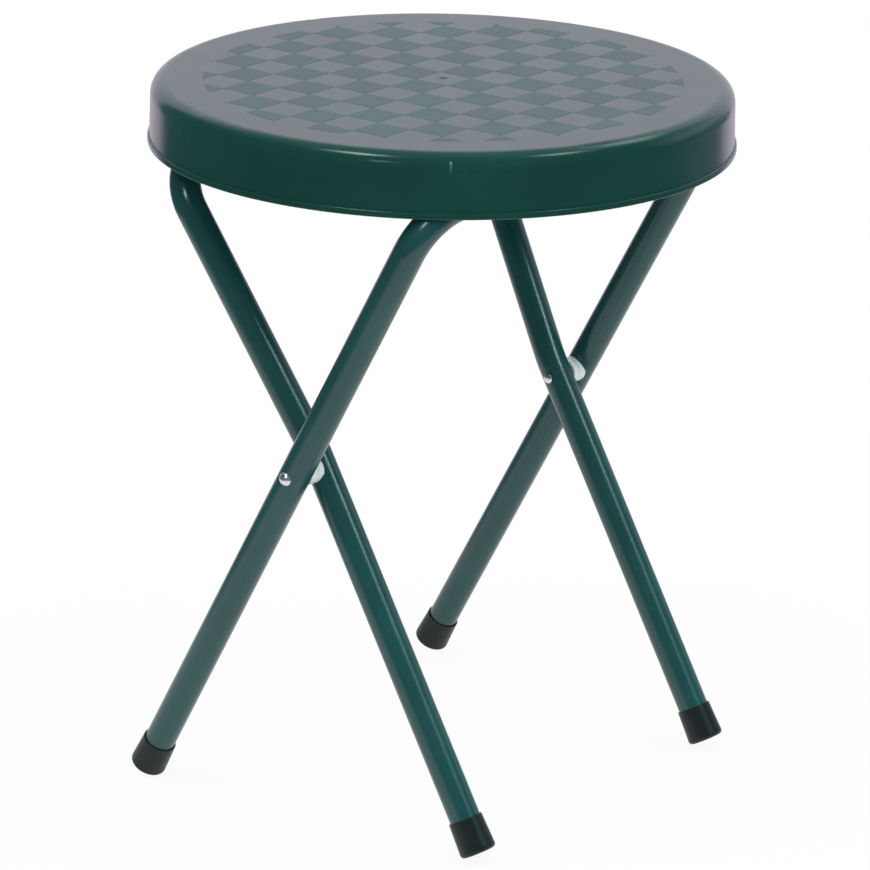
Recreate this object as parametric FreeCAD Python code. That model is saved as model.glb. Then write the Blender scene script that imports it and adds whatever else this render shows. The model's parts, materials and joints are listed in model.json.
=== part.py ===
import FreeCAD, Part
import math
import os

# Folding stool: a round moulded seat on two crossed U-shaped tube frames.
# Millimetres, Z up, origin on the floor under the middle of the seat.
# The pivot axis runs along X. The outer frame's bar is under the seat's -Y side.

V = FreeCAD.Vector
X_AXIS = V(1, 0, 0)
Z_AXIS = V(0, 0, 1)

# Seat
seat_height = 367.0
seat_r = 150.0
skirt_height = 32.0
wall = 2.4
bead_proud = 1.0
bead_height = 3.2
bead_round = 0.5
bead_top_round = 0.9
lip_relief = 1.8
lip_relief_height = 6.0
skirt_draft = 0.7
top_round = 8.0
inner_round = 5.0
gate_r = 3.0
gate_depth = 0.5

# Tubes
tube_d = 16.0
tube_wall = 1.2
bend_r = 24.0
splay_bend_r = 60.0

# Where the frames stand, as shares of the seat's radius or as heights
frame_share = 0.80
outer_bar_share = 0.571
inner_bar_share = 0.539
inner_top_share = 0.797
pivot_height = 186.0
pivot_offset = 4.0
outer_bar_rise = 2.0
inner_bar_drop = 2.0
splay_above_pivot = 9.0

# Pivots
pivot_gap = 4.5
rivet_r = 2.0
rivet_head_r = 3.5
rivet_head_height = 2.2
rivet_tail_r = 2.7
rivet_tail_height = 1.0
rivet_tail_rim = 0.4
saddle_r = 7.0
saddle_wrap = 2.0
saddle_outer_wrap = 3.4
face_gap = 0.3
running_gap = 0.06

# Foot caps
cap_wall = 1.5
cap_mouth_wall = 0.8
cap_length = 18.5
cap_floor = 3.0
cap_round = 2.0
cap_mouth_round = 0.4

# Hinge and rest ribs under the seat
hinge_x = 48.0
hinge_width = 16.0
rib = 3.0
strap_thickness = 1.5
screw_r = 1.5
screw_hole_gap = 0.25
screw_head_r = 3.2
screw_head_height = 2.2
screw_length = 12.0
boss_wall = 3.0
rail_inner_x = 24.0
rail_outer_x = 76.0
rail_end_angle = 14.0
slide_gap = 0.3
stop_wall = 3.5
gusset = 2.0
gusset_depth = 8.0

# Sizes that follow
tube_r = tube_d / 2
lip_z = seat_height - skirt_height
plate_z = seat_height - wall
skirt_low_r = seat_r - bead_proud
skirt_top_r = skirt_low_r - skirt_draft
outer_half = frame_share * seat_r
inner_half = outer_half - tube_d - pivot_gap
inner_top_half = inner_top_share * seat_r
outer_bar = V(0, -outer_bar_share * seat_r, lip_z + outer_bar_rise)
inner_bar = V(0, inner_bar_share * seat_r, lip_z - inner_bar_drop)
pivot = V(0, -pivot_offset, pivot_height)
outer_reach = (outer_bar - pivot).Length
inner_reach = (inner_bar - pivot).Length
outer_up = (outer_bar - pivot) / outer_reach
inner_up = (inner_bar - pivot) / inner_reach
cap_r = tube_r + cap_wall
cap_mouth_r = tube_r + cap_mouth_wall
bearing_r = tube_r + running_gap
sweep_r = tube_r + slide_gap
embed = 0.6


def rounded_path(points, radii, closed=False):
    """Edges of a path through the points, with each corner rounded by its radius."""
    count = len(points)
    cuts = []
    for i, corner in enumerate(points):
        radius = radii[i]
        if radius <= 0 or (not closed and i in (0, count - 1)):
            cuts.append((corner, corner, None))
            continue
        before = (points[i - 1] - corner).normalize()
        after = (points[(i + 1) % count] - corner).normalize()
        half = before.getAngle(after) / 2
        reach = radius / math.tan(half)
        middle = (before + after).normalize()
        crown = corner + middle * (radius / math.sin(half) - radius)
        cuts.append((corner + before * reach, corner + after * reach, crown))
    edges = []
    for i, (start, end, crown) in enumerate(cuts):
        if crown is not None:
            edges.append(Part.Arc(start, crown, end).toShape())
        if i == count - 1 and not closed:
            break
        following = cuts[(i + 1) % count][0]
        if (following - end).Length > 1e-6:
            edges.append(Part.LineSegment(end, following).toShape())
    return edges


def turned(points, radii, base, axis):
    """Solid of revolution: the closed outline is drawn as radius and height, then set on its axis."""
    outline = [V(p[0], 0, p[1]) for p in points]
    face = Part.Face(Part.Wire(rounded_path(outline, radii, True)))
    solid = face.revolve(V(0, 0, 0), Z_AXIS, 360)
    solid.Placement = FreeCAD.Placement(base, FreeCAD.Rotation(Z_AXIS, axis))
    return solid


def domed(radius, height, skirt, base, axis):
    """Rivet head turned about its axis: a round dome, with a plain skirt below its base."""
    sphere_r = (radius ** 2 + height ** 2) / (2 * height)
    half = math.asin(radius / sphere_r) / 2
    crown = V(sphere_r * math.sin(half), 0, height - sphere_r + sphere_r * math.cos(half))
    low, corner = V(0, 0, -skirt), V(radius, 0, -skirt)
    rim, tip = V(radius, 0, 0), V(0, 0, height)
    edges = [Part.LineSegment(low, corner).toShape(), Part.LineSegment(corner, rim).toShape(),
             Part.Arc(rim, crown, tip).toShape(), Part.LineSegment(tip, low).toShape()]
    solid = Part.Face(Part.Wire(edges)).revolve(V(0, 0, 0), Z_AXIS, 360)
    solid.Placement = FreeCAD.Placement(base, FreeCAD.Rotation(Z_AXIS, axis))
    return solid


def along_x(radius, x0, x1, centre):
    """Cylinder along X between two places, about a point in the YZ plane."""
    return Part.makeCylinder(radius, x1 - x0, V(x0, centre.y, centre.z), X_AXIS)


def block(x0, x1, y0, y1, z0, z1):
    return Part.makeBox(x1 - x0, y1 - y0, z1 - z0, V(x0, y0, z0))


def mirrored(shape):
    return shape.mirror(V(0, 0, 0), X_AXIS)


def cap_end(up):
    """Distance from the pivot down the leg to the cap's end, where the rounded cap just meets the floor."""
    lean_sin = math.hypot(up.x, up.y)
    taper = math.atan2(cap_wall - cap_mouth_wall, cap_length)
    corner_reach = cap_round / math.tan((math.pi / 2 - taper) / 2)
    centre_height = (cap_r - corner_reach) * lean_sin + cap_round * (1 - up.z)
    return (pivot_height - centre_height) / up.z


def bent_tube(corners, radii, up):
    """Hollow tube along a path given as sideways place and distance up the leg from the pivot."""
    path = [pivot + up * s + X_AXIS * x for x, s in corners]
    spine = Part.Wire(rounded_path(path, radii))
    start = path[0]
    outside = Part.Wire(Part.makeCircle(tube_r, start, up))
    inside = Part.Wire(Part.makeCircle(tube_r - tube_wall, start, up))
    solid = spine.makePipeShell([outside], True, False)
    core = spine.makePipeShell([inside], True, False)
    return solid.cut(core)


def rest_rail(x):
    """Rib that the inner bar carries: its lower edge follows the bar's swing, its end stops the bar."""
    end = inner_bar.y + sweep_r + stop_wall
    start = pivot.y - (inner_reach + sweep_r) * math.sin(math.radians(rail_end_angle))
    low = inner_bar.z - sweep_r / 2
    body = block(x - rib / 2, x + rib / 2, start, end, low, plate_z + embed)
    reach = inner_reach + sweep_r
    back = V(0, -inner_up.z, inner_up.y)
    x0 = V(x - rib, 0, 0)
    first = pivot + inner_up * reach + x0
    last = pivot - inner_up * reach + x0
    arc = Part.Arc(first, pivot + back * reach + x0, last).toShape()
    swing = Part.Face(Part.Wire([arc, Part.LineSegment(last, first).toShape()])).extrude(X_AXIS * rib * 2)
    seat_of_bar = along_x(sweep_r, x - rib, x + rib, inner_bar)
    return body.cut(swing).cut(seat_of_bar)


# Outer frame tube: straight parallel legs and a top bar
outer_end = cap_end(outer_up)
outer_foot = cap_floor - outer_end
outer_tube = bent_tube(
    [(-outer_half, outer_foot), (-outer_half, outer_reach), (outer_half, outer_reach), (outer_half, outer_foot)],
    [0, bend_r, bend_r, 0], outer_up)
outer_span = outer_half + tube_d
outer_tube = outer_tube.cut(along_x(rivet_r, -outer_span, outer_span, pivot))

# Inner frame tube: legs run inside the outer ones and step outwards above the pivot
inner_end = cap_end(inner_up)
inner_foot = cap_floor - inner_end
inner_corners = [(-inner_half, inner_foot), (-inner_half, splay_above_pivot), (-inner_top_half, inner_reach)]
inner_corners += [(-x, s) for x, s in reversed(inner_corners)]
inner_tube = bent_tube(inner_corners, [0, splay_bend_r, bend_r, bend_r, splay_bend_r, 0], inner_up)
inner_tube = inner_tube.cut(along_x(rivet_r + running_gap, -outer_span, outer_span, pivot))

# Foot caps, one on each leg end, a little thicker towards the ground
cap_outline = [(0, 0), (cap_r, 0), (cap_mouth_r, cap_length), (tube_r, cap_length), (tube_r, cap_floor), (0, cap_floor)]
cap_radii = [0, cap_round, cap_mouth_round, 0, 0, 0]
caps = {}
for name, half, end, up in (("outer", outer_half, outer_end, outer_up), ("inner", inner_half, inner_end, inner_up)):
    for side, sign in (("left", -1), ("right", 1)):
        base = pivot - up * end + X_AXIS * sign * half
        caps["foot_cap_" + name + "_" + side] = turned(cap_outline, cap_radii, base, up)

# Pivot rivet, right side: shank through both tubes, head seated on the outer tube, tail inside the inner tube
outer_crest = outer_half + tube_r
tail_face = inner_half - tube_r - face_gap
head = domed(rivet_head_r, rivet_head_height, tube_r / 4, V(outer_crest, pivot.y, pivot.z), X_AXIS)
leg_solid = Part.makeCylinder(tube_r, 4 * tube_d, pivot + X_AXIS * outer_half - outer_up * 2 * tube_d, outer_up)
head = head.cut(leg_solid)
tail_base = V(tail_face - rivet_tail_rim, pivot.y, pivot.z)
tail = domed(rivet_tail_r, rivet_tail_height, rivet_tail_rim, tail_base, -X_AXIS)
shank = along_x(rivet_r, tail_face - 0.5, outer_crest + 0.5, pivot)
rivet_right = shank.fuse([head, tail]).removeSplitter()
rivet_left = mirrored(rivet_right)

# Saddle washers, right side: each hugs its own tube and meets the other at a flat face
middle_x = outer_half - tube_r - pivot_gap / 2
outer_face = middle_x + face_gap / 2
inner_face = middle_x - face_gap / 2
saddle_outer = along_x(saddle_r, outer_face, outer_half - tube_r + saddle_outer_wrap, pivot)
saddle_outer = saddle_outer.cut(leg_solid).cut(along_x(rivet_r, middle_x, outer_half, pivot))
inner_leg = Part.makeCylinder(tube_r, 4 * tube_d, pivot + X_AXIS * inner_half - inner_up * 2 * tube_d, inner_up)
saddle_inner = along_x(saddle_r, inner_half + tube_r - saddle_wrap, inner_face, pivot)
saddle_inner = saddle_inner.cut(inner_leg).cut(inner_tube)
saddle_inner = saddle_inner.cut(along_x(rivet_r + running_gap, inner_half, middle_x, pivot))

# Seat shell: plate, skirt and lip bead turned about Z
inside_low_r = skirt_low_r - wall
inside_top_r = skirt_top_r - wall
shell_outline = [
    (0, seat_height), (skirt_top_r, seat_height), (skirt_low_r, lip_z + bead_height), (seat_r, lip_z + bead_height),
    (seat_r, lip_z), (inside_low_r + lip_relief, lip_z), (inside_low_r, lip_z + lip_relief_height),
    (inside_top_r, plate_z), (0, plate_z)]
shell_radii = [0, top_round, 0, bead_top_round, bead_round, bead_round, 0, inner_round, 0]
seat = turned(shell_outline, shell_radii, V(0, 0, 0), Z_AXIS)

# Hinge mounts under the plate: two ribs, a cross web and two screw bosses at each side
boss_r = screw_r + boss_wall
boss_y = bearing_r + strap_thickness + screw_head_r + 1.2
flange_y = boss_y + boss_r
pieces = []
holes = []
for centre in (-hinge_x, hinge_x):
    for edge in (-1, 1):
        rib_x = centre + edge * (hinge_width - rib) / 2
        pieces.append(block(rib_x - rib / 2, rib_x + rib / 2, outer_bar.y - flange_y, outer_bar.y + flange_y,
                            outer_bar.z, plate_z + embed))
        place = V(centre, outer_bar.y + edge * boss_y, outer_bar.z)
        pieces.append(Part.makeCylinder(boss_r, plate_z + embed - outer_bar.z, place, Z_AXIS))
        holes.append(Part.makeCylinder(screw_r, screw_length - strap_thickness, place, Z_AXIS))
    pieces.append(block(centre - hinge_width / 2, centre + hinge_width / 2, outer_bar.y - rib / 2,
                        outer_bar.y + rib / 2, outer_bar.z + tube_r, plate_z + embed))
for x in (-rail_outer_x, -rail_inner_x, rail_inner_x, rail_outer_x):
    pieces.append(rest_rail(x))

# Gussets inside the skirt, clear of the four places where the tubes come up.
# Their outer corner ends in the middle of the shell's rounded wall.
round_x = inside_top_r - inner_round
round_z = plate_z - inner_round
round_reach = (inner_round + wall / 2) * math.sqrt(0.5)
under_plate = V(round_x, 0, plate_z + embed)
in_corner = V(round_x + round_reach, 0, round_z + round_reach)
behind_skirt = V(inside_top_r + embed, 0, round_z)
for middle, spread in ((0, 12), (90, 24), (180, 12), (270, 24)):
    for turn in range(middle - spread, middle + spread + 1, 12):
        foot = V(inside_low_r + embed, 0, lip_z + bead_height * 2)
        inner_top = V(inside_top_r - gusset_depth, 0, plate_z + embed)
        outline = Part.makePolygon([foot, inner_top, under_plate, in_corner, behind_skirt, foot])
        web = Part.Face(outline).extrude(V(0, gusset, 0))
        web.translate(V(0, -gusset / 2, 0))
        web.rotate(V(0, 0, 0), Z_AXIS, turn)
        pieces.append(web)

seat = seat.fuse(pieces)
for hole in holes:
    seat = seat.cut(hole)
seat = seat.cut(along_x(bearing_r, -hinge_x - hinge_width, hinge_x + hinge_width, outer_bar))
gate_sphere = (gate_r ** 2 + gate_depth ** 2) / (2 * gate_depth)
seat = seat.cut(Part.makeSphere(gate_sphere, V(0, 0, seat_height - gate_depth + gate_sphere)))
seat = seat.removeSplitter()

# Hinge straps: a half ring under the bar with a flange on each side
strap_r = bearing_r + strap_thickness


def strap(centre):
    x0 = centre - hinge_width / 2
    x1 = centre + hinge_width / 2
    ring = along_x(strap_r, x0, x1, outer_bar)
    flange = block(x0, x1, outer_bar.y - flange_y, outer_bar.y + flange_y, outer_bar.z - strap_thickness, outer_bar.z)
    below = block(x0, x1, outer_bar.y - strap_r, outer_bar.y + strap_r, outer_bar.z - 2 * strap_r, outer_bar.z)
    body = ring.common(below).fuse(flange).removeSplitter()
    body = body.cut(along_x(bearing_r, x0, x1, outer_bar))
    for edge in (-1, 1):
        place = V(centre, outer_bar.y + edge * boss_y, outer_bar.z - 2 * strap_thickness)
        body = body.cut(Part.makeCylinder(screw_r + screw_hole_gap, 4 * strap_thickness, place, Z_AXIS))
    return body


# Strap screws: pan heads with a cross recess, shanks up into the bosses
screw_outline = [
    (0, 0), (screw_head_r, 0), (screw_head_r, screw_head_height), (screw_r, screw_head_height),
    (screw_r, screw_head_height + screw_length - 0.8), (screw_r - 0.6, screw_head_height + screw_length),
    (0, screw_head_height + screw_length)]
screw_radii = [0, 1.2, 0, 0, 0, 0, 0]
screws = []
for centre in (-hinge_x, hinge_x):
    for edge in (-1, 1):
        head_z = outer_bar.z - strap_thickness - screw_head_height
        place = V(centre, outer_bar.y + edge * boss_y, head_z)
        body = turned(screw_outline, screw_radii, place, Z_AXIS)
        long, short, deep = screw_head_r * 0.65, 0.4, screw_head_height / 2
        body = body.cut(block(place.x - long, place.x + long, place.y - short, place.y + short,
                              head_z - 1, head_z + deep))
        body = body.cut(block(place.x - short, place.x + short, place.y - long, place.y + long,
                              head_z - 1, head_z + deep))
        screws.append(body)

nodes = {
    "seat_shell": seat,
    "outer_frame_tube": outer_tube,
    "inner_frame_tube": inner_tube,
    "pivot_rivet_left": rivet_left,
    "pivot_rivet_right": rivet_right,
    "saddle_outer_left": mirrored(saddle_outer),
    "saddle_outer_right": saddle_outer,
    "saddle_inner_left": mirrored(saddle_inner),
    "saddle_inner_right": saddle_inner,
    "hinge_strap_left": strap(-hinge_x),
    "hinge_strap_right": strap(hinge_x),
    "strap_screws": Part.makeCompound(screws),
}
nodes.update(caps)

os.makedirs("parts", exist_ok=True)
for name, shape in nodes.items():
    shape.exportStep("parts/" + name + ".step")
    box = shape.BoundBox
    print(name, "solids", len(shape.Solids), "valid", shape.isValid(), "volume", round(shape.Volume),
          "z", round(box.ZMin, 2), round(box.ZMax, 2))
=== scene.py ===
# %% [markdown]
# # A folding stool, dressed in Blender
# The stool has a round moulded seat on two crossed tube frames. The measured
# solids come from CAD, and this lesson gives them their finishes, adds the
# grained squares on the seat and sets up a small photo studio.

# %% Load the measured frame
import json
import math
import bpy
from mathutils import Matrix, Vector


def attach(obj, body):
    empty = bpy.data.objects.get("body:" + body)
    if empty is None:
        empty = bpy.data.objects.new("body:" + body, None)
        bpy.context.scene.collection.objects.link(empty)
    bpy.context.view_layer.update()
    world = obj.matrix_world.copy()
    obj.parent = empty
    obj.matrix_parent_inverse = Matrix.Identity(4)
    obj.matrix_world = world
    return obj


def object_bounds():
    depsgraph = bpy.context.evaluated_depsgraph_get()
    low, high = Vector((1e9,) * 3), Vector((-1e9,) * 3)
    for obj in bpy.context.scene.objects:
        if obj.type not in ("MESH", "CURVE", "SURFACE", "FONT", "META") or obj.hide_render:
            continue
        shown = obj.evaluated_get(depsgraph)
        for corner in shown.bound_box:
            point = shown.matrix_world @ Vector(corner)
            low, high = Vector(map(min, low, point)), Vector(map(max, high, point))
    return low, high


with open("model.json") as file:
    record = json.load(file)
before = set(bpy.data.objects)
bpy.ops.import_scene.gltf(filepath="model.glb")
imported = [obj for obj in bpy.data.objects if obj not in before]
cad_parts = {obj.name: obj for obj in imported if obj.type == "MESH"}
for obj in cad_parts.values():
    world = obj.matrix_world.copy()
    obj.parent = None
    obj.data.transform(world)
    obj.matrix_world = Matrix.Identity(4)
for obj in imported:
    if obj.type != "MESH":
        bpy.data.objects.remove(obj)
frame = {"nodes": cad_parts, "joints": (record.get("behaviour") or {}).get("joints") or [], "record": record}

cad_low, cad_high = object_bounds()
scene = bpy.context.scene
scene.view_settings.view_transform = "Standard"
print("box in mm", [round(v * 1000, 1) for v in cad_high - cad_low])

# %% [markdown]
# ## A way to write node trees as sums
# Every finish below is a node tree, and a tree wired by hand is hard to read.
# A small class wraps a socket, so that `1 - mask` adds the Math node for us.
# A second one adds any other node: its settings first, then its sockets.

# %% Sockets that can be added and multiplied


class Wire:
    """A socket that gives a value. Arithmetic on it adds Math nodes."""

    def __init__(self, board, socket):
        self.board = board
        self.socket = socket

    def __add__(self, other):
        return self.board.math("ADD", self, other)

    def __radd__(self, other):
        return self.board.math("ADD", other, self)

    def __sub__(self, other):
        return self.board.math("SUBTRACT", self, other)

    def __rsub__(self, other):
        return self.board.math("SUBTRACT", other, self)

    def __mul__(self, other):
        return self.board.math("MULTIPLY", self, other)

    def __rmul__(self, other):
        return self.board.math("MULTIPLY", other, self)

    def __truediv__(self, other):
        return self.board.math("DIVIDE", self, other)

    def __mod__(self, other):
        return self.board.math("FLOORED_MODULO", self, other)

    def __abs__(self):
        return self.board.math("ABSOLUTE", self)


class Board:
    """A node tree under construction."""

    def __init__(self, tree):
        self.tree = tree
        tree.nodes.clear()

    def add(self, kind, settings=None, sockets=None, out=0):
        """Adds one node and gives one of its outputs, by number or name."""
        node = self.tree.nodes.new(kind)
        for name, value in (settings or {}).items():
            setattr(node, name, value)
        inputs = [s for s in node.inputs if s.enabled]
        for key, value in (sockets or {}).items():
            socket = inputs[key] if isinstance(key, int) else next(s for s in inputs if s.name == key)
            for item in value if isinstance(value, list) else [value]:
                if isinstance(item, Wire):
                    self.tree.links.new(item.socket, socket)
                else:
                    socket.default_value = item
        outputs = [s for s in node.outputs if s.enabled]
        if not outputs:
            return None
        found = outputs[out] if isinstance(out, int) else next(s for s in outputs if s.name == out)
        return Wire(self, found)

    def outputs(self, kind, sockets=None):
        """Adds one node and gives all its outputs, by name."""
        node = self.add(kind, {}, sockets).socket.node
        return {s.name: Wire(self, s) for s in node.outputs if s.name}

    def axes(self, where):
        """The x, y and z of a place."""
        parts = self.outputs("ShaderNodeSeparateXYZ", {0: where})
        return parts["X"], parts["Y"], parts["Z"]

    def math(self, operation, *values):
        return self.add("ShaderNodeMath", {"operation": operation}, dict(enumerate(values)))

    def vector(self, operation, *parts):
        return self.add("ShaderNodeVectorMath", {"operation": operation}, dict(enumerate(parts)))

    def length(self, first, second):
        """Length of a flat vector with these two parts."""
        return self.math("SQRT", first * first + second * second)

    def fade(self, value, low, high):
        """0 below low, 1 above high, and a smooth step between."""
        return self.add("ShaderNodeMapRange", {"interpolation_type": "SMOOTHSTEP"},
                        {"Value": value, "From Min": low, "From Max": high})

    def band(self, value, start, full, fall, end):
        """1 from full to fall, 0 before start and after end."""
        return self.fade(value, start, full) * (1 - self.fade(value, fall, end))

    def tint(self, share, first, second):
        """A colour that goes from first to second."""
        return self.add("ShaderNodeMix", {"data_type": "RGBA"}, {"Factor": share, "A": first, "B": second})

    def noise(self, where, size, detail=2.0, rough=0.5):
        """Cloudy noise from 0 to 1, with patches of about the given size in metres."""
        return self.add("ShaderNodeTexNoise", {},
                        {"Vector": where, "Scale": 1 / size, "Detail": detail, "Roughness": rough})


print("a board adds nodes, a wire adds arithmetic")

# %% [markdown]
# ## One recipe for a finish
# All finishes share a shape: a colour, a roughness, a height for the bump and
# a few numbers that are the same all over. Those numbers go straight on the
# shader's sockets, and only the rest is linked. Colours are linear light.

# %% Start and end of a finish
semi_gloss = {"IOR": 1.5, "Specular IOR Level": 0.5}
bare_metal = {"Metallic": 1.0}


def start_finish(name):
    """A new material, its board, and the place on the solid that is shaded."""
    material = bpy.data.materials.new(name)
    material.use_nodes = True
    board = Board(material.node_tree)
    where = board.add("ShaderNodeTexCoord", {}, {}, "Object")
    return material, board, where


def end_finish(board, colour, roughness, height, depth, fixed):
    """Principled shader with a bump. Depth is the height of the bump in metres."""
    bump = board.add("ShaderNodeBump", {}, {"Strength": 1.0, "Distance": depth, "Height": height})
    linked = {"Base Color": colour, "Roughness": roughness, "Normal": bump}
    shader = board.add("ShaderNodeBsdfPrincipled", {}, {**linked, **fixed})
    board.add("ShaderNodeOutputMaterial", {}, {"Surface": shader})


def grey(value):
    return (value, value, value, 1.0)


def solids_called(start):
    """Names of the CAD solids that begin with these words."""
    return [name for name in frame["nodes"] if name.startswith(start)]


def dress(material, *names):
    """Puts a finish on CAD solids, whose shapes stay as they are."""
    for name in names:
        solid = frame["nodes"][name]
        solid.data.materials.clear()
        solid.data.materials.append(material)
    print(material.name, "on", len(names), "solids")


print("ready to dress", len(frame["nodes"]), "solids")

# %% [markdown]
# ## The moulded seat
# The seat is injection-moulded polypropylene: a deep bottle green with a soft
# gloss. Plastic flows out from the gate in the middle, so faint flow bands run
# in rings and rays. They could be a painted picture, but a picture needs a
# flat map of the seat. Noise read along the flow needs none.

# %% Flow marks, shared by the smooth and the grained plastic
flow_band = 0.022
flow_cloud = 0.06
ray_spread = 0.05


def flow_marks(board, where):
    """0 where the green is deep, and 1 where the flow left it paler."""
    x, y, z = board.axes(where)
    flat = board.add("ShaderNodeCombineXYZ", {}, {0: x, 1: y, 2: 0.0})
    spoke = board.vector("SCALE", board.vector("NORMALIZE", flat), ray_spread)
    outward = board.add("ShaderNodeCombineXYZ", {}, {2: board.length(x, y) - z})
    bands = board.noise(board.vector("ADD", spoke, outward), flow_band, 3.0)
    clouds = board.noise(where, flow_cloud, 3.0)
    return board.fade(bands * 0.5 + clouds * 0.5, 0.30, 0.72)


print("flow bands about", flow_band * 1000, "mm wide")

# %% [markdown]
# ## Marks of use on the rim
# The edge of the seat has been bumped: one bright nick below the rim and fine
# upright scuffs beside it. They could be cut into the shape, but they are
# hardly deeper than the skin of the plastic. All of this is read from Object
# coordinates, so it stays on the seat when the seat tilts. The numbers of a
# mark say how far below the top it starts, is full, fades and ends.

# %% Green plastic
seat_top = cad_high.z
nick_angle = math.radians(-140.5)
nick_sides = (0.0002, 0.0009)
nick_spot = (0.0032, 0.0040, 0.0046, 0.0056)
nick_tail = (0.0040, 0.0050, 0.0060, 0.0105)
scuff_heights = (0.0030, 0.0070, 0.0100, 0.0180)
scuff_width = 0.0011
scuff_patch = 0.030
upright_stretch = (1.0, 1.0, 0.05)
skin_grain = 0.0011
skin_depth = 0.00006
smear_size = 0.028
deep_green = (0.0052, 0.0520, 0.0404, 1.0)
pale_green = (0.0077, 0.0662, 0.0512, 1.0)
scuffed_green = (0.030, 0.110, 0.092, 1.0)
nicked_green = (0.17, 0.36, 0.31, 1.0)


def rim_nick(board, x, y, below):
    """1 on the bright spot of the nick and less on the tail below it."""
    beside = abs(board.math("ARCTAN2", y, x) - nick_angle) * board.length(x, y)
    spot = board.band(below, *nick_spot)
    tail = board.band(below, *nick_tail)
    return (1 - board.fade(beside, *nick_sides)) * board.math("MAXIMUM", spot, tail * 0.35)


def rim_scuffs(board, where, below):
    """Upright scratches in loose patches under the rim."""
    upright = board.vector("MULTIPLY", where, upright_stretch)
    scratches = board.fade(board.noise(upright, scuff_width), 0.60, 0.74)
    patches = board.fade(board.noise(where, scuff_patch), 0.46, 0.62)
    return scratches * patches * board.band(below, *scuff_heights)


def make_seat_plastic():
    material, board, where = start_finish("moulded_green_plastic")
    x, y, z = board.axes(where)
    below = seat_top - z
    nick = rim_nick(board, x, y, below)
    scuffs = rim_scuffs(board, where, below)
    skin = board.noise(where, skin_grain, 3.0)
    smears = board.fade(board.noise(where, smear_size, 4.0, 0.6), 0.38, 0.70)
    colour = board.tint(flow_marks(board, where), deep_green, pale_green)
    colour = board.tint(scuffs * 0.25, colour, scuffed_green)
    colour = board.tint(nick * 0.75, colour, nicked_green)
    roughness = 0.18 + smears * 0.04 + scuffs * 0.10 + nick * 0.12
    end_finish(board, colour, roughness, skin * 0.25 + nick * 0.8, skin_depth, semi_gloss)
    return material


seat_plastic = make_seat_plastic()
dress(seat_plastic, "seat_shell")

# %% [markdown]
# ## The grained squares
# It is the same plastic with a fine grain etched into every other square, and
# the grain spreads the reflection, so those squares look darker and greener.
# They could be painted with a mask in the seat's finish, but a mask turns
# soft when it is baked to a texture. So each square is a wafer of grain a
# hair proud of the plate. The squares repeat by a rule, which is a job for
# Geometry Nodes: a grid of points, every other one kept, a wafer on each, and
# a disc that trims the outermost ones.

# %% Grained plastic
pebble_size = 0.0009
grit_size = 0.0004
grain_depth = 0.000012
grained_deep_green = (0.0082, 0.0760, 0.0620, 1.0)
grained_pale_green = (0.0102, 0.0930, 0.0760, 1.0)
pebble_green = (0.0135, 0.1060, 0.0870, 1.0)


def make_grained_plastic():
    material, board, where = start_finish("grained_green_plastic")
    cells = board.add("ShaderNodeTexVoronoi", {"feature": "SMOOTH_F1"},
                      {"Vector": where, "Scale": 1 / pebble_size, "Smoothness": 0.6}, "Distance")
    pebbles = cells * 0.7 + board.noise(where, grit_size) * 0.3
    colour = board.tint(flow_marks(board, where), grained_deep_green, grained_pale_green)
    colour = board.tint(board.fade(pebbles, 0.25, 0.75) * 0.25, colour, pebble_green)
    roughness = 0.34 + pebbles * 0.08
    end_finish(board, colour, roughness, pebbles, grain_depth, semi_gloss)
    return material


grained_plastic = make_grained_plastic()
print(grained_plastic.name, "has", len(grained_plastic.node_tree.nodes), "nodes")

checker_sizes = {"Square": 0.020, "Gap": 0.0002, "Field radius": 0.122, "Top": seat_top,
                 "Proud": 0.00006, "Depth": 0.00024}
checker_rows = 13
disc_sides = 256


def build_checker_tree():
    tree = bpy.data.node_groups.new("checker_of_wafers", "GeometryNodeTree")
    for name in checker_sizes:
        tree.interface.new_socket(name, in_out="INPUT", socket_type="NodeSocketFloat")
    tree.interface.new_socket("Rows", in_out="INPUT", socket_type="NodeSocketInt")
    tree.interface.new_socket("Finish", in_out="INPUT", socket_type="NodeSocketMaterial")
    tree.interface.new_socket("Wafers", in_out="OUTPUT", socket_type="NodeSocketGeometry")
    board = Board(tree)
    size = board.outputs("NodeGroupInput")
    rows = size["Rows"]
    depth = size["Depth"]
    span = (rows - 1) * size["Square"]
    grid = board.add("GeometryNodeMeshGrid", {},
                     {"Size X": span, "Size Y": span, "Vertices X": rows, "Vertices Y": rows})
    index = board.add("GeometryNodeInputIndex")
    row = board.math("FLOOR", index / rows)
    odd = (row + index % rows) % 2.0
    points = board.add("GeometryNodeMeshToPoints", {}, {"Mesh": grid, "Selection": odd})
    side = size["Square"] - size["Gap"]
    block = board.add("ShaderNodeCombineXYZ", {}, {0: side, 1: side, 2: depth})
    wafer = board.add("GeometryNodeMeshCube", {}, {"Size": block})
    spread = board.add("GeometryNodeInstanceOnPoints", {}, {"Points": points, "Instance": wafer})
    solid = board.add("GeometryNodeRealizeInstances", {}, {"Geometry": spread})
    disc = board.add("GeometryNodeMeshCylinder", {},
                     {"Vertices": disc_sides, "Radius": size["Field radius"], "Depth": depth * 4.0})
    trimmed = board.add("GeometryNodeMeshBoolean", {"operation": "INTERSECT", "solver": "EXACT"},
                        {"Mesh": [solid, disc]})
    lift = board.add("ShaderNodeCombineXYZ", {}, {2: size["Top"] + size["Proud"] - depth / 2.0})
    raised = board.add("GeometryNodeSetPosition", {}, {"Geometry": trimmed, "Offset": lift})
    whole = board.add("GeometryNodeRealizeInstances", {}, {"Geometry": raised})
    finished = board.add("GeometryNodeSetMaterial", {}, {"Geometry": whole, "Material": size["Finish"]})
    board.add("NodeGroupOutput", {}, {0: finished})
    return tree


checker_tree = build_checker_tree()
print("checker tree has", len(checker_tree.nodes), "nodes")

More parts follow.
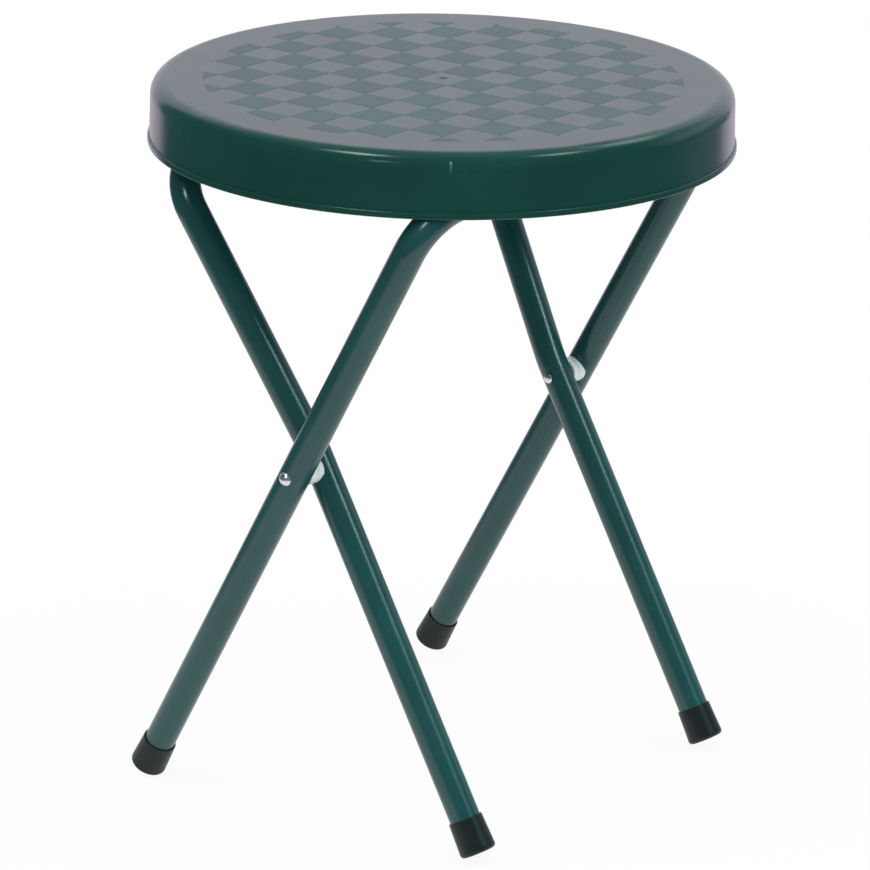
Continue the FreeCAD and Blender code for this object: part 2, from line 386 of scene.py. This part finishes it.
# %% Grow the wafers and keep them as a plain mesh


def grow(name, tree, values):
    """Runs a tree on an empty object and gives its result as a plain mesh object."""
    seed = bpy.data.objects.new(name + "_seed", bpy.data.meshes.new(name + "_seed"))
    scene.collection.objects.link(seed)
    modifier = seed.modifiers.new(name, "NODES")
    modifier.node_group = tree
    for item in tree.interface.items_tree:
        if item.in_out == "INPUT":
            modifier[item.identifier] = values[item.name]
    seen = seed.evaluated_get(bpy.context.evaluated_depsgraph_get())
    mesh = bpy.data.meshes.new_from_object(seen)
    bpy.data.objects.remove(seed)
    piece = bpy.data.objects.new(name, mesh)
    scene.collection.objects.link(piece)
    return piece


wafers = grow("checker_wafers", checker_tree,
              {**checker_sizes, "Rows": checker_rows, "Finish": grained_plastic})
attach(wafers, "seat")
print("wafers:", len(wafers.data.polygons), "faces, finish", wafers.data.materials[0].name)

# %% [markdown]
# ## The painted tubes
# The frames are thin steel tube under a semi-gloss green paint, baked on as a
# powder. Powder flows out with a slight orange-peel skin, and it lies a touch
# thinner in places. Round each pivot the paint is rubbed by the washer. The
# peel could be real bumps, but a bump in the shading is enough for a skin of
# hundredths of a millimetre. The place of the pivot comes from the frame.

# %% Green paint
joints = {joint["name"]: joint for joint in frame["joints"]}
pivot_y, pivot_z = joints["leg_pivot"]["pos_m"][1:]
peel_size = 0.0022
peel_depth = 0.00003
speck_size = 0.0005
paint_cloud = 0.045
rubbed_ring = (0.0045, 0.0105)
rub_size = 0.0018
thin_paint = (0.0086, 0.0705, 0.0680, 1.0)
full_paint = (0.0110, 0.0830, 0.0805, 1.0)
rubbed_paint = (0.035, 0.100, 0.090, 1.0)


def from_pivot(board, where):
    """Distance from the axis that the two frames turn on."""
    y, z = board.axes(where)[1:]
    return board.length(y - pivot_y, z - pivot_z)


def make_frame_paint():
    material, board, where = start_finish("green_tube_paint")
    peel = board.noise(where, peel_size)
    specks = board.noise(where, speck_size)
    clouds = board.fade(board.noise(where, paint_cloud, 3.0), 0.30, 0.72)
    rubbed = 1 - board.fade(from_pivot(board, where), *rubbed_ring)
    rubbed = rubbed * board.fade(board.noise(where, rub_size, 4.0), 0.50, 0.66)
    colour = board.tint(clouds, thin_paint, full_paint)
    colour = board.tint(rubbed * 0.35, colour, rubbed_paint)
    roughness = 0.20 + clouds * 0.03 + specks * 0.03 + rubbed * 0.15
    end_finish(board, colour, roughness, peel * 0.7 + specks * 0.15, peel_depth, semi_gloss)
    return material


frame_paint = make_frame_paint()
dress(frame_paint, "outer_frame_tube", "inner_frame_tube")

# %% [markdown]
# ## The rubber foot caps
# Black rubber is never quite black and never quite smooth. The caps have a
# fine moulded grain, and the end that stands on the ground picks up pale dust.
# The dust could be painted on each cap, but it always lies lowest, so the
# height above the floor places it on all four.

# %% Black rubber
rubber_grain = 0.0006
rubber_grain_depth = 0.00008
rubber_patch = 0.006
dusty_height = (0.0005, 0.0060)
dark_rubber = (0.0046, 0.0104, 0.0108, 1.0)
faded_rubber = (0.0080, 0.0152, 0.0158, 1.0)
ground_dust = (0.10, 0.098, 0.092, 1.0)
rubber_gloss = {"IOR": 1.5, "Specular IOR Level": 0.30}


def make_cap_rubber():
    material, board, where = start_finish("black_cap_rubber")
    z = board.axes(where)[2]
    grain = board.noise(where, rubber_grain, 3.0)
    patches = board.noise(where, rubber_patch, 3.0)
    dust = (1 - board.fade(z, *dusty_height)) * board.fade(patches, 0.40, 0.65)
    colour = board.tint(patches, dark_rubber, faded_rubber)
    colour = board.tint(dust * 0.20, colour, ground_dust)
    roughness = 0.33 + grain * 0.12 + dust * 0.20
    end_finish(board, colour, roughness, grain, rubber_grain_depth, rubber_gloss)
    return material


cap_rubber = make_cap_rubber()
dress(cap_rubber, *solids_called("foot_cap"))

# %% [markdown]
# ## Rivets, washers and straps
# The rivets are bright zinc, turned as they were headed, so faint rings run
# round each dome. The saddle washers between the tubes are white nylon, a bit
# waxy. The straps under the seat are plain zinc plate with a blotchy spangle.
# Plain colours would do from far away. Up close each needs its own small
# pattern, and a formula or a noise gives it at any size.

# %% Bright zinc on the rivets
ring_pitch = 0.00035
zinc_spot = 0.0012
ring_depth = 0.000004
bright_zinc = (0.80, 0.80, 0.81, 1.0)
dull_zinc = (0.66, 0.66, 0.67, 1.0)


def make_rivet_zinc():
    material, board, where = start_finish("bright_rivet_zinc")
    turns = from_pivot(board, where) * (math.tau / ring_pitch)
    rings = board.math("SINE", turns) * 0.5 + 0.5
    spots = board.fade(board.noise(where, zinc_spot, 3.0), 0.35, 0.75)
    colour = board.tint(spots, bright_zinc, dull_zinc)
    roughness = 0.28 + spots * 0.12
    end_finish(board, colour, roughness, rings * 0.4 + spots * 0.6, ring_depth, bare_metal)
    return material


rivet_zinc = make_rivet_zinc()
dress(rivet_zinc, *solids_called("pivot_rivet"))

# %% White nylon on the saddle washers
nylon_cloud = 0.004
nylon_skin = 0.0007
nylon_skin_depth = 0.00002
warm_white = (0.87, 0.865, 0.855, 1.0)
clean_white = (0.92, 0.92, 0.915, 1.0)
waxy = {"IOR": 1.53, "Subsurface Weight": 0.15, "Subsurface Scale": 0.002}


def make_saddle_nylon():
    material, board, where = start_finish("white_saddle_nylon")
    clouds = board.fade(board.noise(where, nylon_cloud, 3.0), 0.3, 0.7)
    skin = board.noise(where, nylon_skin)
    colour = board.tint(clouds, warm_white, clean_white)
    end_finish(board, colour, 0.36 + skin * 0.10, skin, nylon_skin_depth, waxy)
    return material


saddle_nylon = make_saddle_nylon()
dress(saddle_nylon, *solids_called("saddle"))

# %% Zinc plate on the straps and screws
spangle_size = 0.003
brush_width = 0.0004
brush_stretch = 0.08
brush_depth = 0.000006
grey_plate = (0.56, 0.57, 0.58, 1.0)
pale_plate = (0.68, 0.69, 0.70, 1.0)


def make_strap_zinc():
    material, board, where = start_finish("plated_strap_zinc")
    x, y, z = board.axes(where)
    spangle = board.add("ShaderNodeTexVoronoi", {"feature": "F1"},
                        {"Vector": where, "Scale": 1 / spangle_size}, "Color")
    shade = board.axes(spangle)[0]
    brush = board.add("ShaderNodeCombineXYZ", {}, {0: x * brush_stretch, 1: y, 2: z})
    lines = board.noise(brush, brush_width)
    colour = board.tint(shade, grey_plate, pale_plate)
    roughness = 0.30 + shade * 0.10 + lines * 0.06
    end_finish(board, colour, roughness, lines, brush_depth, bare_metal)
    return material


strap_zinc = make_strap_zinc()
dress(strap_zinc, *solids_called("hinge_strap"), "strap_screws")

# %% [markdown]
# ## The camera
# The picture was taken from about two and a half metres away with a long lens,
# from the front left and a little above the seat. A camera could be moved by
# hand until the edges agree. Here its place, lens and roll come from a fit of
# the CAD sizes to the edges in the picture.

# %% Camera
image_width = 870
focal_pixels = 4748.9
sensor_width = 36.0
camera_spot = Vector((-1.85207, -1.43459, 0.96091))
camera_aim = Vector((-0.00119, 0.00006, 0.17647))
camera_roll = math.radians(1.065)

ahead = (camera_aim - camera_spot).normalized()
flat_right = ahead.cross(Vector((0, 0, 1))).normalized()
flat_up = flat_right.cross(ahead)
right = flat_right * math.cos(camera_roll) + flat_up * math.sin(camera_roll)
upward = flat_up * math.cos(camera_roll) - flat_right * math.sin(camera_roll)
lens = bpy.data.cameras.new("picture_camera")
lens.sensor_width = sensor_width
lens.lens = focal_pixels / image_width * sensor_width
camera = bpy.data.objects.new("picture_camera", lens)
scene.collection.objects.link(camera)
turn_matrix = Matrix((right, upward, -ahead)).transposed()
camera.matrix_world = Matrix.Translation(camera_spot) @ turn_matrix.to_4x4()
scene.camera = camera
print("lens", round(lens.lens, 1), "mm, distance", round((camera_aim - camera_spot).length, 3), "m")

# %% [markdown]
# ## The room
# Gloss only shows what it reflects, so the studio matters as much as the
# plastic. A white paper wall stands behind the stool and makes the flat top
# look grey. The room in front is dark, which keeps the skirt a deep green, and
# a paler stretch on the right shows at that end of the seat. Walls could be
# modelled, but they would stand in the way of a camera on another side. So the
# room is drawn in the world by direction, and only reflections see it. Soft
# light comes from a plain sky, and the camera sees white.

# %% World
to_camera = Vector((-ahead.x, -ahead.y, 0)).normalized()
paper_wall = (0.860, 0.748, 0.890, 1.0)
wall_top = (0.46, 0.84)
low_room = (0.075, 0.105, 0.135, 1.0)
high_room = (0.035, 0.045, 0.055, 1.0)
lilac_corner = (0.23, 0.22, 0.32, 1.0)
pale_side = (0.60, 0.62, 0.66, 1.0)
side_heights = (0.02, 0.16, 0.35, 0.60)
high_back = (0.29, 0.30, 0.30, 1.0)
low_sky = grey(0.32)
high_sky = grey(1.10)
white = grey(1.0)


def from_camera(turn, climb=0.0):
    """Direction some degrees from the camera towards the right of the picture, and some up."""
    turn = math.radians(turn)
    climb = math.radians(climb)
    flat = to_camera * math.cos(turn) + flat_right * math.sin(turn)
    return tuple(flat * math.cos(climb) + Vector((0, 0, math.sin(climb))))


def make_world():
    world = bpy.data.worlds.new("studio")
    world.use_nodes = True
    board = Board(world.node_tree)
    ray = board.add("ShaderNodeTexCoord", {}, {}, "Generated")
    height = board.axes(ray)[2]
    level = board.vector("NORMALIZE", board.vector("MULTIPLY", ray, (1, 1, 0)))

    def near(what, direction, low, high):
        """1 in the middle of a patch of the room, 0 outside it."""
        return board.fade(board.vector("DOT_PRODUCT", what, direction), low, high)

    wall = near(level, from_camera(180), 0.755, 0.825) * (1 - board.fade(height, *wall_top))
    side = near(level, from_camera(122), 0.86, 0.97) * board.band(height, *side_heights)
    room = board.tint(board.fade(height, 0.1, 0.8), low_room, high_room)
    room = board.tint(near(level, from_camera(137), 0.76, 0.97), room, lilac_corner)
    room = board.tint(side, room, pale_side)
    room = board.tint(near(ray, from_camera(180, 50), 0.68, 0.90), room, high_back)
    mirrored = board.tint(wall, room, paper_wall)
    sky = board.tint(board.fade(height, -0.05, 0.80), low_sky, high_sky)
    see = board.outputs("ShaderNodeLightPath")
    colour = board.tint(see["Is Glossy Ray"], sky, mirrored)
    straight = board.math("MAXIMUM", see["Is Camera Ray"], see["Is Transmission Ray"])
    colour = board.tint(straight, colour, white)
    light = board.add("ShaderNodeBackground", {}, {"Color": colour, "Strength": 1.0})
    board.add("ShaderNodeOutputWorld", {}, {"Surface": light})
    scene.world = world


make_world()
print("the paper wall lies towards", [round(v, 2) for v in -to_camera])

# %% [markdown]
# ## The card under the feet
# A sheet of white paper lies under the stool. It takes the shadow and shows in
# the slanting tubes. It could be a plain white floor, but its edge would cut a
# hard line into every reflection. So its rim melts into the white background
# for the camera and into the dark room for the gloss. From below it is clear.

# %% Paper card
card_reach = 0.78
card_sides = 96
card_drop = 0.0002
paper_fibre = 0.003
thin_paper = grey(0.86)
thick_paper = grey(0.90)
shadow_share = 0.07
rim_darkening = 0.88


def make_paper():
    material, board, where = start_finish("white_paper")
    x, y = board.axes(where)[:2]
    radius = board.length(x, y)
    fibre = board.noise(where, paper_fibre, 3.0)
    paper = board.add("ShaderNodeBsdfDiffuse", {}, {"Color": board.tint(fibre, thin_paper, thick_paper)})
    see = board.outputs("ShaderNodeLightPath")
    dim = see["Is Glossy Ray"] * board.fade(radius, card_reach * 0.78, card_reach) * rim_darkening
    glow = board.add("ShaderNodeEmission", {}, {"Color": white, "Strength": 1 - dim})
    shown = board.math("MAXIMUM", see["Is Camera Ray"], see["Is Glossy Ray"])
    shown = board.math("MAXIMUM", shown, see["Is Transmission Ray"])
    melted = board.fade(radius, card_reach * 0.45, card_reach * 0.9)
    glowing = 1 - shadow_share + melted * shadow_share
    sheet = board.add("ShaderNodeMixShader", {}, {0: shown * glowing, 1: paper, 2: glow})
    under = board.add("ShaderNodeNewGeometry", {}, {}, "Backfacing")
    clear = board.add("ShaderNodeBsdfTransparent")
    one_sided = board.add("ShaderNodeMixShader", {}, {0: under, 1: sheet, 2: clear})
    board.add("ShaderNodeOutputMaterial", {}, {"Surface": one_sided})
    return material


def make_card():
    corners = [math.tau * i / card_sides for i in range(card_sides)]
    points = [(card_reach * math.cos(a), card_reach * math.sin(a), -card_drop) for a in corners]
    mesh = bpy.data.meshes.new("paper_card")
    mesh.from_pydata(points, [], [list(range(card_sides))])
    mesh.materials.append(make_paper())
    card = bpy.data.objects.new("paper_card", mesh)
    scene.collection.objects.link(card)
    return card


card = make_card()
print("card", round(card.dimensions.x, 2), "m across")

# %% [markdown]
# ## The lamps
# Soft boxes draw the thin bright lines of a gloss picture. Four of them light
# everything: two high ones for the rim, one behind and one in front. In a real
# studio black flags keep a lamp off one part of the object, and here light
# linking does that. The bend box and the two leg boxes reach only the frames:
# the first gives the glints on the bends, the others the long lines down the
# legs. The seat box reaches only the seat's shell, and adds soft light without
# showing in its gloss.

# %% What the flagged lamps may light
frame_light = bpy.data.collections.new("lit_by_leg_boxes")
seat_solids = frame["record"]["behaviour"]["bodies"]["seat"]
for name, solid in frame["nodes"].items():
    if name not in seat_solids:
        frame_light.objects.link(solid)
seat_light = bpy.data.collections.new("lit_by_seat_box")
seat_light.objects.link(frame["nodes"]["seat_shell"])

# %% Soft boxes
box_distance = 2.0
box_aim = Vector((0, 0, 0.25))
cool_white = (0.80, 1.0, 0.98)
cold_white = (0.74, 1.0, 1.0)
sea_green = (0.50, 1.0, 0.97)


def soft_box(name, towards, width, tall, radiance, colour=cool_white, only=None, gloss=True, soft=True):
    """A flat lamp that faces the stool. Radiance 1 looks white in a mirror.

    Only is the collection that it lights. Gloss and soft say whether it shows
    in reflections and whether it adds soft light.
    """
    lamp = bpy.data.lights.new(name, "AREA")
    lamp.shape = "RECTANGLE"
    lamp.size = width
    lamp.size_y = tall
    lamp.energy = radiance * math.pi * width * tall
    lamp.color = colour
    holder = bpy.data.objects.new(name, lamp)
    back = Vector(towards).normalized()
    turned = back.to_track_quat("Z", "Y").to_matrix().to_4x4()
    holder.matrix_world = Matrix.Translation(box_aim + back * box_distance) @ turned
    holder.visible_camera = False
    holder.visible_glossy = gloss
    holder.visible_diffuse = soft
    holder.light_linking.receiver_collection = only
    scene.collection.objects.link(holder)
    print(name, round(lamp.energy, 1), "W")


soft_box("left_top_box", from_camera(-60, 68), 0.44, 0.30, 12.0)
soft_box("right_top_box", from_camera(78, 63), 0.38, 0.26, 8.5)
soft_box("back_box", from_camera(130, 52.5), 0.76, 0.46, 2.3)
soft_box("front_box", from_camera(-25, 34), 0.24, 0.26, 3.6)
soft_box("bend_box", from_camera(-19, 39), 0.26, 0.56, 18.0, only=frame_light, soft=False)
soft_box("high_leg_box", from_camera(58, 33.3), 0.46, 0.38, 12.0, cold_white, only=frame_light)
soft_box("low_leg_box", from_camera(51, 21.5), 0.50, 0.38, 1.7, sea_green, only=frame_light)
soft_box("seat_box", from_camera(26, 24), 0.50, 0.50, 5.5, only=seat_light, gloss=False)
